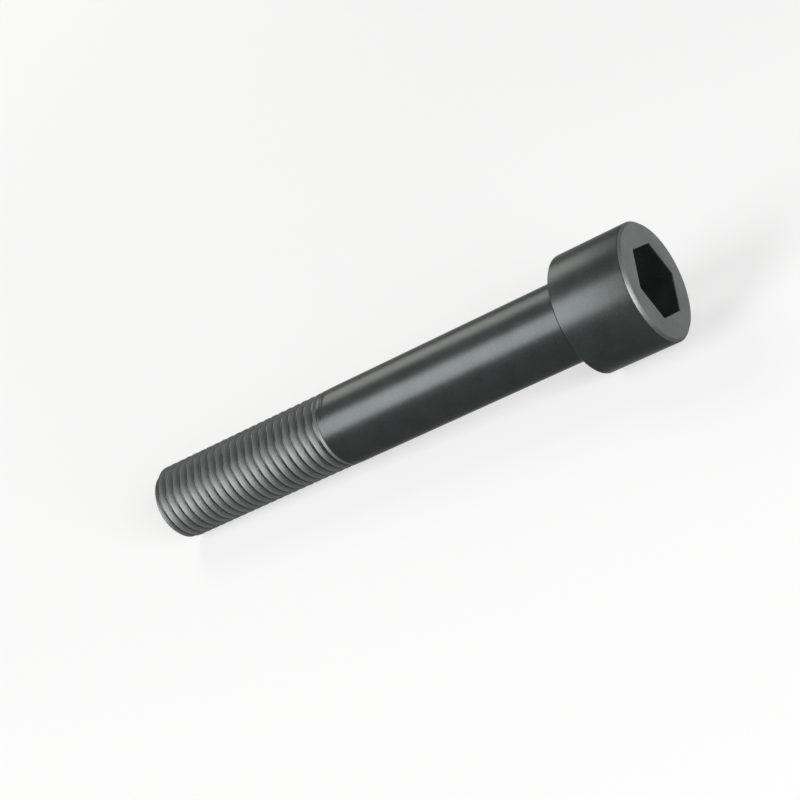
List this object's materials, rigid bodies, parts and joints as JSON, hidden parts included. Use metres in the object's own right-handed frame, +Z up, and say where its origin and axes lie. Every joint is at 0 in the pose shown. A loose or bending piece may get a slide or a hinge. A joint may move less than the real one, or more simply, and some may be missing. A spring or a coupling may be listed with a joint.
{
  "type": "socket head cap screw",
  "caption": "Round-headed machine screw with a hex socket in the head, a plain shank and a coarse right-hand thread; it clamps a part into a tapped hole.",
  "frame": {"origin": "on the floor, below the middle of the screw's box as it lies on its side", "axes": "+X along the screw towards the head, +Z up, the screw's axis in the XZ plane and 2.3 degrees lower at the tip"},
  "size_m": [0.1508, 0.03, 0.0307],
  "materials": {
    "black_steel": "black oxide, satin"
  },
  "bodies": {
    "root": {"cap_screw": "black_steel"}
  },
  "joints": []
}
